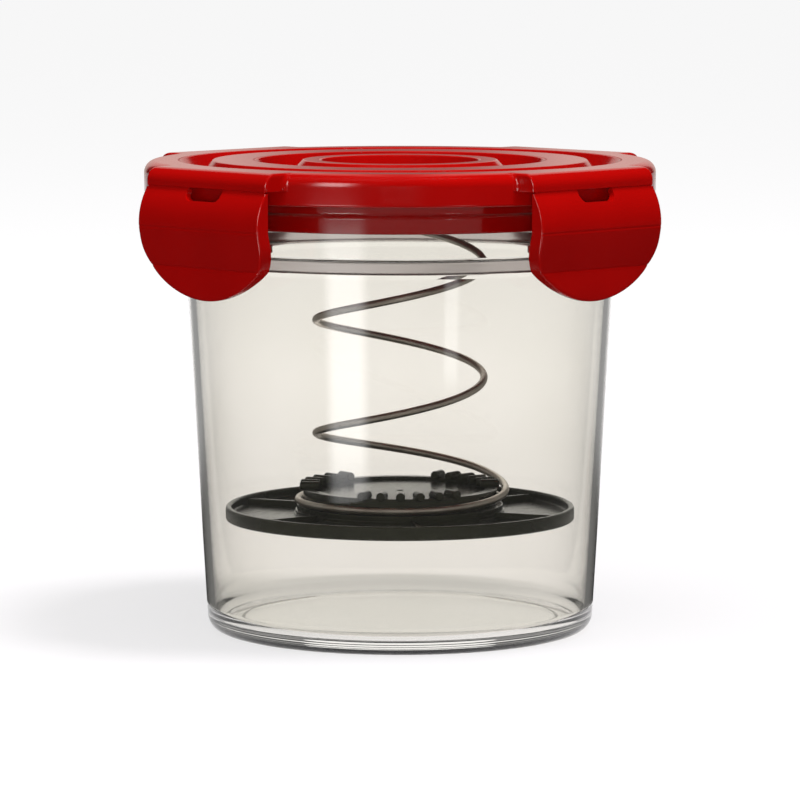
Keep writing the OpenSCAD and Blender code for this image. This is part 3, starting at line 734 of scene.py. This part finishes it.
def clip_cover():
    """Face and side walls of a clip as one sheet, in radius, width and height."""
    top = HINGE_Z - HINGE_SLIT
    heights = {CLIP_ARC_Z - CLIP_ARC_R * math.cos(a) for a in spread(0, CLIP_MEET, 24)}
    heights |= {CLIP_CORNER_Z - CLIP_CORNER_R * math.cos(a) for a in spread(CLIP_MEET, math.pi / 2, 8)}
    heights |= set(spread(CLIP_CORNER_Z, CLIP_FACE[0].y, 24)) | {top}
    for bend in CLIP_FACE[1:3]:
        heights |= {bend.y + BEND_LINE_W * k for k in (-2, -1.2, -0.6, 0, 0.6, 1.2, 2)}
    rows = sorted(heights)
    rows = [rows[0]] + [b for a, b in zip(rows, rows[1:]) if b - a > 2 * MERGE]
    # Distances of the columns from the clip's side, closest where the edge is round
    margins = [0, 0.05, 0.14, 0.3, 0.5, CLIP_EDGE_R, 1.2, 3, 6, 9, 12, 15, 18, 21, 24.5, CLIP_W / 2]
    half = [1 - m / (CLIP_W / 2) for m in margins]
    shares = [-s for s in half] + half[-2::-1]
    walls = 4
    columns = len(shares) - 1 + 2 * walls

    def place(column, row):
        z = rows[row]
        width = clip_half_width(z)
        inner = min(max(column - walls, 0), len(shares) - 1)
        y = shares[inner] * width
        sunk = max(CLIP_EDGE_R - max(clip_margin(y, z), 0), 0)
        out = face_at(z) - CLIP_EDGE_R + math.sqrt(CLIP_EDGE_R ** 2 - sunk ** 2)
        beyond = max(walls - column, column - columns + walls, 0)
        return Vector((out + (back_at(z) - out) * beyond / walls, y, z))

    bm = tidy(bent_grid(columns, len(rows) - 1, place))
    outwards = sum(f.normal.x * f.calc_area() for f in bm.faces)
    if outwards < 0:
        bmesh.ops.reverse_faces(bm, faces=bm.faces)
    return bm


def notch_cutter():
    """Solid that cuts the notch out of the clip's top edge."""
    low = HINGE_Z - NOTCH_D
    high = HINGE_Z + NOTCH_D
    outline = rounded([(-NOTCH_W / 2, low, NOTCH_R), (NOTCH_W / 2, low, NOTCH_R),
                       (NOTCH_W / 2, high, 0), (-NOTCH_W / 2, high, 0)], steps=8)
    bm = prism([(SKIRT_R, p.x, p.y) for p in outline], (CLIP_OUT - SKIRT_R + CLIP_BULGE, 0, 0))
    mesh = bpy.data.meshes.new("notch_cutter")
    bm.to_mesh(mesh)
    bm.free()
    obj = bpy.data.objects.new("notch_cutter", mesh)
    bpy.context.scene.collection.objects.link(obj)
    return obj


def clip_hook():
    """Hook that reaches under the pot's ledge, and the webs above it."""
    hook_z = LEDGE_Z - HOOK_GAP
    hook_r = BEAD_R + HOOK_PASS
    reach = math.asin(HOOK_W / 2 / hook_r)
    inner = [(hook_r * math.cos(a), hook_r * math.sin(a), hook_z - HOOK_T) for a in spread(-reach, reach, 16)]
    buried = face_at(hook_z - HOOK_T) - CLIP_WALL / 2
    outer = [(buried, HOOK_W / 2, hook_z - HOOK_T), (buried, -HOOK_W / 2, hook_z - HOOK_T)]
    shelf = eased(prism(inner + outer, (0, 0, HOOK_T)), HOOK_EASE)
    web_r = hook_r + HOOK_T
    rise = WEB_H / (CLIP_OUT - web_r)
    foot = face_at(hook_z) - CLIP_WALL / 2
    tip = face_at(hook_z + WEB_H) - CLIP_WALL / 2
    webs = []
    for i in range(WEB_COUNT):
        y = HOOK_W / WEB_COUNT * (i - (WEB_COUNT - 1) / 2) - WEB_T / 2
        side = [(web_r, hook_z - CLIP_SUNK), (web_r, hook_z),
                (tip, hook_z + (tip - web_r) * rise), (foot, hook_z - CLIP_SUNK)]
        webs.append(eased(prism([(d, y, z) for d, z in side], (0, WEB_T, 0)), WEB_EASE))
    return [shelf, *webs]


def clip_hinge():
    """The two halves of the hinge bead, each on its thin neck."""
    axis = TAB_FACE - HINGE_R
    radius = HINGE_R - HINGE_INSET
    root = HINGE_Z - HINGE_NECK - CLIP_SUNK
    over = [(axis + radius * math.cos(a), HINGE_Z + radius * math.sin(a)) for a in spread(0, math.pi, 12)]
    profile = [(axis + radius, root), *over, (axis - radius, root)]
    length = CLIP_W / 2 - TAB_CORNER_R - NOTCH_W / 2
    starts = (NOTCH_W / 2, TAB_CORNER_R - CLIP_W / 2)
    return [prism([(d, y, z) for d, z in profile], (0, length, 0)) for y in starts]


def clip_shape():
    """Clip with its notch, hook and hinge bead, facing along X."""
    cutter = notch_cutter()
    shell = with_modifiers(
        clip_cover(),
        ("SOLIDIFY", {"thickness": CLIP_WALL, "offset": -1, "use_even_offset": True}),
        ("BOOLEAN", {"object": cutter, "operation": "DIFFERENCE", "solver": "EXACT"}),
        ("BEVEL", {"width": CLIP_EASE, "segments": 3, "limit_method": "ANGLE",
                   "angle_limit": math.radians(50)}))
    bpy.data.objects.remove(cutter)
    bmesh.ops.remove_doubles(shell, verts=shell.verts, dist=SLIVER)
    bmesh.ops.dissolve_degenerate(shell, edges=shell.edges, dist=SLIVER)
    return joined(shell, *clip_hook(), *clip_hinge())


def plate_shape():
    """Press plate with its rim, ribs, stepped hub and gate mark."""
    floor = PRESS_Z + PLATE_FLOOR
    top = PLATE_SEAT_Z + SPIGOT_H
    disc = lathe(rounded([
        (HUB_R - PLATE_FLOOR, PRESS_Z, EDGE_ROUND / 2),
        (PLATE_R, PRESS_Z, EDGE_ROUND),
        (PLATE_R, PRESS_Z + PLATE_RIM_H, EDGE_ROUND),
        (PLATE_R - PLATE_RIM_T, PRESS_Z + PLATE_RIM_H, EDGE_ROUND),
        (PLATE_R - PLATE_RIM_T, floor, EDGE_ROUND),
        (HUB_R + 2 * HUB_STEP, floor, INNER_ROUND),
        (HUB_R + 2 * HUB_STEP, floor + HUB_STEP, STEP_ROUND),
        (HUB_R + HUB_STEP, floor + HUB_STEP, STEP_ROUND),
        (HUB_R + HUB_STEP, floor + 3 * HUB_STEP, STEP_ROUND),
        (HUB_R, floor + 3 * HUB_STEP, STEP_ROUND),
        (HUB_R, PLATE_SEAT_Z, EDGE_ROUND / 2),
        (SPIGOT_R, PLATE_SEAT_Z, INNER_ROUND),
        (SPIGOT_R, top, EDGE_ROUND / 2),
        (GATE_R, top, INNER_ROUND),
        (GATE_R * GATE_NARROWS, top - GATE_D, GATE_ROUND),
        (0, top - GATE_D, 0),
        (0, top - PLATE_FLOOR, 0),
        (SPIGOT_R - PLATE_FLOOR, top - PLATE_FLOOR, EDGE_ROUND),
        (SPIGOT_R - PLATE_FLOOR, PLATE_SEAT_Z - PLATE_FLOOR, INNER_ROUND),
        (HUB_R - PLATE_FLOOR, PLATE_SEAT_Z - PLATE_FLOOR, EDGE_ROUND)], steps=4), closed=True)
    ribs = []
    for i in range(RIB_COUNT):
        rib = bmesh.new()
        bmesh.ops.create_cube(rib, size=1)
        length = PLATE_R - PLATE_RIM_T - HUB_R + 2 * RIB_SUNK
        bmesh.ops.scale(rib, vec=(length, RIB_T, RIB_H + RIB_SUNK), verts=rib.verts)
        middle = Vector((HUB_R - RIB_SUNK + length / 2, 0, floor + RIB_H / 2 - RIB_SUNK / 2))
        bmesh.ops.translate(rib, vec=middle, verts=rib.verts)
        turn = Matrix.Rotation(RIB_TURN + i * math.tau / RIB_COUNT, 4, "Z")
        ribs.append(turned(eased(rib, RIB_EASE, segments=3), turn))
    return joined(disc, *ribs)


def retainer_shape():
    """Ring with groups of round-ended pegs, standing on its seat at height 0."""
    ring = lathe(rounded([
        (KEEPER_IN_R, 0, KEEPER_FOOT_ROUND),
        (KEEPER_OUT_R, 0, KEEPER_FOOT_ROUND),
        (KEEPER_OUT_R, KEEPER_H, KEEPER_TOP_ROUND),
        (KEEPER_IN_R, KEEPER_H, KEEPER_TOP_ROUND)], steps=4), closed=True, steps=128)
    pegs = []
    length = PEG_END_R - KEEPER_IN_R + PEG_IN
    for group in range(PEG_GROUPS):
        for i in range(GROUP_PEGS):
            peg = bmesh.new()
            bmesh.ops.create_cone(peg, cap_ends=True, segments=24, radius1=PEG_D / 2, radius2=PEG_D / 2,
                                  depth=length)
            angle = GROUP_TURN + group * math.tau / PEG_GROUPS + PEG_STEP * (i - (GROUP_PEGS - 1) / 2)
            middle = Vector((KEEPER_IN_R - PEG_IN + length / 2, 0, KEEPER_H + PEG_LIFT))
            lie = Matrix.Translation(middle) @ Matrix.Rotation(math.pi / 2, 4, "Y")
            pegs.append(turned(eased(peg, PEG_EASE, segments=4), Matrix.Rotation(angle, 4, "Z") @ lie))
    return joined(ring, *pegs)


def wire_point(a):
    """Middle of the wire at an angle after it leaves the lower end coil. The upper half mirrors the lower."""
    near = min(a, WORK_TURN - a)
    ramp = min(max(near, 0), COIL_RAMP)
    lift = COIL_PITCH / math.tau * (ramp * ramp / (2 * COIL_RAMP) + max(near - COIL_RAMP, 0))
    z = COIL_LOW_Z + lift if near == a else COIL_HIGH_Z - lift
    r = (END_COIL_R + (PASS_R - END_COIL_R) * smooth(near / COIL_WIDEN)
         - (PASS_R - COIL_R) * smooth((near - PEG_CLEARED) / COIL_DRAW_IN))
    return Vector((r * math.cos(COIL_START + a), r * math.sin(COIL_START + a), z))


def spring_shape():
    """The spring's wire, with its UV map along and round it, and the wire's length."""
    first = -END_COIL_TURN
    last = WORK_TURN + END_COIL_TURN
    cut = WIRE_END / END_COIL_R
    count = round((last - first) / WIRE_STEP)
    # Angle and share of the full radius of each ring, with eased wire ends
    rings = [(first, 0), (first, WIRE_END_SHARE), (first + cut, 1)]
    rings += [(a, 1) for a in spread(first + WIRE_STEP, last - WIRE_STEP, count)]
    rings += [(last - cut, 1), (last, WIRE_END_SHARE), (last, 0)]

    def place(column, row):
        a, share = rings[column]
        way = (wire_point(a + WIRE_NUDGE) - wire_point(a - WIRE_NUDGE)).normalized()
        out = UP.cross(way).normalized()
        around = math.tau * row / WIRE_SIDES
        edge = math.cos(around) * out + math.sin(around) * way.cross(out)
        return wire_point(a) + WIRE_D / 2 * share * edge

    length = sum((wire_point(b) - wire_point(a)).length for (a, _), (b, _) in zip(rings, rings[1:]))
    return tidy(bent_grid(len(rings) - 1, WIRE_SIDES, place)), length


# Pieces

clear = clear_styrene()
red = red_polypropylene()
dark = dark_polypropylene()
silicone = seal_silicone()

piece("clear_pot", pot_shape(), "pot", "pot_body", clear)
piece("ringed_lid", lid_shape(), "lid", "lid_shell", red)
piece("rim_seal", seal_shape(), "lid", "lid_seal", silicone)
clip = clip_shape()
for side, name in enumerate(CLIP_SIDES):
    turn = Matrix.Rotation((side - 1) * math.pi / 2, 4, "Z")
    piece(name + "_moulding", turned(clip.copy(), turn), name, name, red)
clip.free()
piece("slatted_press_plate", plate_shape(), "press", "press_plate", dark)
retainer = retainer_shape()
seated = Matrix.Translation((0, 0, PLATE_SEAT_Z)) @ Matrix.Rotation(COIL_START, 4, "Z")
hung = (Matrix.Translation((0, 0, LID_SEAT_Z)) @ Matrix.Rotation(COIL_START + WORK_TURN, 4, "Z")
        @ Matrix.Rotation(math.pi, 4, "X"))
piece("plate_retainer_ring", turned(retainer.copy(), seated), "press", "plate_spring_retainer",
      dark)
piece("lid_retainer_ring", turned(retainer.copy(), hung), "lid", "lid_spring_retainer",
      dark)
retainer.free()
wire, wire_length = spring_shape()
spring = piece("coiled_spring", wire, "lid", "press_spring", drawn_stainless(wire_length))
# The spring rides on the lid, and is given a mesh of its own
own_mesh(spring)


# Camera, at the photograph's viewing angle

VIEW_TURN = math.radians(45)
studio = Matrix.Rotation(VIEW_TURN, 4, "Z")
CAMERA_BACK = 1.545
CAMERA_UP = 0.2449
CAMERA_PITCH = math.radians(6.24)
SENSOR_MM = 36
FOCAL_PIXELS = 4679
IMAGE_PIXELS = 800
camera_data = bpy.data.cameras.new("camera")
camera_data.sensor_width = SENSOR_MM
camera_data.lens = SENSOR_MM * FOCAL_PIXELS / IMAGE_PIXELS
camera = bpy.data.objects.new("camera", camera_data)
camera.matrix_world = (studio @ Matrix.Translation((0, -CAMERA_BACK, CAMERA_UP))
                       @ Matrix.Rotation(math.pi / 2 - CAMERA_PITCH, 4, "X"))
bpy.context.scene.collection.objects.link(camera)
bpy.context.scene.camera = camera


# Studio: pale floor, white surroundings, soft lamps, and cards and cloths for the reflections

# Distance from the pot in metres and the floor's glow there: under the lamps, and beyond them
GLOW_NEAR = (0.2, 0.67)
GLOW_FAR = (0.9, 0.9)
# Tent: where its cloth starts and ends on the floor, and how far round it goes
TENT_NEAR = 0.085
TENT_FAR = 2.4
TENT_TURN = math.radians(320)
# Behind the pot, and below this height, the dark cloth turns pale between these two distances
TENT_FADE = (0.2, 0.45)
TENT_LOW = 0.1
# How far aside the pale flag is still dark, and is fully pale
FLAG_DARK = 0.03
FLAG_PALE = 0.17
LAMP_AIM_Z = 0.12
FILL_LIGHT = 0.09
FLOOR_SIZE = 60


def facing(spot, aim):
    """Pose at a spot in the camera's frame (right, away and up) that looks at an aim."""
    way = Vector(aim) - Vector(spot)
    return studio @ Matrix.Translation(spot) @ way.to_track_quat("-Z", "Y").to_matrix().to_4x4()


def staged(name, bm, pose):
    """Object of the studio, which isn't part of the pot."""
    mesh = bpy.data.meshes.new(name)
    bm.to_mesh(mesh)
    bm.free()
    obj = bpy.data.objects.new(name, mesh)
    obj.matrix_world = pose
    bpy.context.scene.collection.objects.link(obj)
    return obj


def card(name, size, pose):
    """Flat rectangle in a pose."""
    bm = bmesh.new()
    bmesh.ops.create_grid(bm, x_segments=1, y_segments=1, size=0.5)
    bmesh.ops.scale(bm, vec=(size[0], size[1], 1), verts=bm.verts)
    return staged(name, bm, pose)


def in_view(tree):
    """1 where the camera sees the background, directly, in a reflection or through the pot."""
    path = add(tree, "LightPath")
    seen = add(tree, "Math", {0: path.outputs["Is Camera Ray"], 1: path.outputs["Is Glossy Ray"]},
               operation="MAXIMUM")
    seen = add(tree, "Math", {0: seen.outputs[0], 1: path.outputs["Is Transmission Ray"]},
               operation="MAXIMUM")
    return seen.outputs[0]


def studio_floor():
    """Pale floor that keeps the shadow. It glows for the camera just enough to look white."""
    floor = card("floor", (FLOOR_SIZE, FLOOR_SIZE), studio)
    material, tree, point = new_material("white studio floor")
    far = add(tree, "VectorMath", {0: point}, operation="LENGTH")
    lift = add(tree, "MapRange", {
        "Value": far.outputs["Value"], "From Min": GLOW_NEAR[0], "From Max": GLOW_FAR[0],
        "To Min": GLOW_NEAR[1], "To Max": GLOW_FAR[1]}, interpolation_type="SMOOTHSTEP")
    paint = add(tree, "BsdfDiffuse", {"Color": linear("#999699")})
    glow = add(tree, "Emission", {"Color": linear("#FFFFFF"), "Strength": lift.outputs["Result"]})
    both = add(tree, "AddShader", {0: paint.outputs["BSDF"], 1: glow.outputs["Emission"]})
    mix = add(tree, "MixShader", {0: in_view(tree), 1: paint.outputs["BSDF"], 2: both.outputs["Shader"]})
    add(tree, "OutputMaterial", {"Surface": mix.outputs["Shader"]})
    floor.data.materials.append(material)


def studio_world():
    """White surroundings for the eye, and a weak fill light on the pot."""
    world = bpy.data.worlds.new("white studio")
    world.use_nodes = True
    tree = world.node_tree
    tree.nodes.clear()
    white = add(tree, "Background", {"Color": linear("#FFFFFF"), "Strength": 1.0})
    fill = add(tree, "Background", {"Color": linear("#FFFFFF"), "Strength": FILL_LIGHT})
    mix = add(tree, "MixShader", {0: in_view(tree), 1: fill.outputs["Background"],
                                  2: white.outputs["Background"]})
    add(tree, "OutputWorld", {"Surface": mix.outputs["Shader"]})
    bpy.context.scene.world = world


def softbox(name, spot, size, power):
    """Rectangular lamp that looks at the pot. The glow cards take its place in reflections."""
    data = bpy.data.lights.new(name, "AREA")
    data.shape = "RECTANGLE"
    data.size, data.size_y = size
    data.energy = power
    obj = bpy.data.objects.new(name, data)
    obj.matrix_world = facing(spot, (0, 0, LAMP_AIM_Z))
    obj.visible_camera = False
    obj.visible_transmission = False
    obj.visible_glossy = False
    bpy.context.scene.collection.objects.link(obj)


def reflections_only(obj):
    """Only glossy faces show the object, and it casts no shadow."""
    obj.visible_camera = False
    obj.visible_diffuse = False
    obj.visible_transmission = False
    obj.visible_shadow = False


def glow_card(name, spot, aim, size, soft, strength):
    """Card that shows as a highlight on the pot and fades out along its edges."""
    obj = card(name, size, facing(spot, aim))
    reflections_only(obj)
    material, tree, point = new_material(name)
    apart = add(tree, "VectorMath", {0: point}, operation="ABSOLUTE")
    apart = add(tree, "SeparateXYZ", {"Vector": apart.outputs["Vector"]})
    shares = [add(tree, "MapRange", {
        "Value": apart.outputs[axis], "From Min": side / 2, "From Max": side / 2 - soft},
        interpolation_type="SMOOTHSTEP") for axis, side in zip("XY", size)]
    share = add(tree, "Math", {0: shares[0].outputs["Result"], 1: shares[1].outputs["Result"]},
                operation="MULTIPLY")
    level = add(tree, "Math", {0: share.outputs[0], 1: strength}, operation="MULTIPLY")
    glow = add(tree, "Emission", {"Strength": level.outputs[0]})
    air = add(tree, "BsdfTransparent")
    both = add(tree, "AddShader", {0: glow.outputs["Emission"], 1: air.outputs["BSDF"]})
    add(tree, "OutputMaterial", {"Surface": both.outputs["Shader"]})
    obj.data.materials.append(material)


def tent(name, turn, faces, on_floor):
    """Part of a cloth tent round the pot, of which glossy faces show the reflection."""
    bm = bmesh.new()
    dome = [(TENT_FAR * math.cos(a), 0, TENT_FAR * math.sin(a)) for a in spread(0, math.pi / 2, 16)]
    rim = [(TENT_NEAR, 0, 0)] if on_floor else []
    profile = [bm.verts.new(p) for p in rim + dome]
    edges = [bm.edges.new(pair) for pair in zip(profile, profile[1:])]
    bmesh.ops.spin(bm, geom=profile + edges, axis=UP, angle=turn, steps=48)
    bmesh.ops.translate(bm, vec=UP * MM, verts=bm.verts)
    bmesh.ops.rotate(bm, cent=(0, 0, 0), matrix=Matrix.Rotation(faces - turn / 2, 3, "Z"), verts=bm.verts)
    obj = staged(name, bm, studio)
    reflections_only(obj)
    return obj


def dark_tent():
    """Dark cloth round the pot and on the floor, in reflections only. It is greyer for what is in the pot."""
    obj = tent("dark_tent", TENT_TURN, -math.pi / 2, on_floor=True)
    obj.visible_transmission = True
    material, tree, point = new_material("dark_tent_cloth")
    path = add(tree, "LightPath")
    spot = add(tree, "SeparateXYZ", {"Vector": point})
    back = add(tree, "MapRange", {"Value": spot.outputs["Y"], "From Min": TENT_FADE[0],
                                  "From Max": TENT_FADE[1]}, interpolation_type="SMOOTHSTEP")
    low = add(tree, "Math", {0: spot.outputs["Z"], 1: TENT_LOW}, operation="LESS_THAN")
    share = add(tree, "Math", {0: back.outputs["Result"], 1: low.outputs[0]}, operation="MULTIPLY")
    cloth = add(tree, "MixRGB", {"Fac": share.outputs[0], 1: linear("#1C1C1C"), 2: linear("#C0C0C0")})
    colour = add(tree, "MixRGB", {"Fac": path.outputs["Is Transmission Ray"],
                                  1: cloth.outputs["Color"], 2: linear("#848484")})
    shade = add(tree, "Emission", {"Color": colour.outputs["Color"], "Strength": 1.0})
    air = add(tree, "BsdfTransparent")
    # Looking straight through the pot, there is no tent
    bounces = add(tree, "Math", {0: path.outputs["Diffuse Depth"], 1: path.outputs["Glossy Depth"]},
                  operation="ADD")
    bounced = add(tree, "Math", {0: bounces.outputs[0], 1: 0.5}, operation="GREATER_THAN")
    mix = add(tree, "MixShader", {0: bounced.outputs[0], 1: air.outputs["BSDF"],
                                  2: shade.outputs["Emission"]})
    add(tree, "OutputMaterial", {"Surface": mix.outputs["Shader"]})
    obj.data.materials.append(material)


def pale_flag():
    """Pale cloth behind the pot, for the sheen on the lid's flats. It is darker in the middle."""
    obj = tent("pale_flag", math.tau - TENT_TURN, math.pi / 2, on_floor=False)
    material, tree, point = new_material("pale_flag_cloth")
    across = add(tree, "SeparateXYZ", {"Vector": point}).outputs["X"]
    aside = add(tree, "Math", {0: across}, operation="ABSOLUTE")
    share = add(tree, "MapRange", {
        "Value": aside.outputs[0], "From Min": FLAG_DARK, "From Max": FLAG_PALE},
        interpolation_type="SMOOTHSTEP")
    colour = add(tree, "MixRGB", {"Fac": share.outputs["Result"], 1: linear("#7A6E69"), 2: linear("#D2C8C0")})
    shade = add(tree, "Emission", {"Color": colour.outputs["Color"], "Strength": 1.0})
    add(tree, "OutputMaterial", {"Surface": shade.outputs["Emission"]})
    obj.data.materials.append(material)


bpy.context.scene.view_settings.view_transform = "Standard"
studio_floor()
studio_world()
dark_tent()
pale_flag()
softbox("left_softbox", (-0.283, -0.405, 1.64), (1.2, 1.2), 14)
softbox("right_softbox", (0.428, -0.247, 1.64), (0.4, 0.4), 21)
softbox("front_softbox", (0, -1.6, 0.21), (0.5, 0.3), 7.8)
glow_card("left_glow", (-0.112, -0.237, 0.0615), (-0.0187, -0.065, 0.0615), (0.115, 0.148), 0.035, 5)
glow_card("right_glow", (0.108, -0.242, 0.075), (0.0172, -0.067, 0.075), (0.045, 0.075), 0.015, 2.5)
glow_card("shoulder_glow", (-0.11, -0.237, 0.205), (-0.0187, -0.08, 0.15), (0.085, 0.12), 0.03, 8)
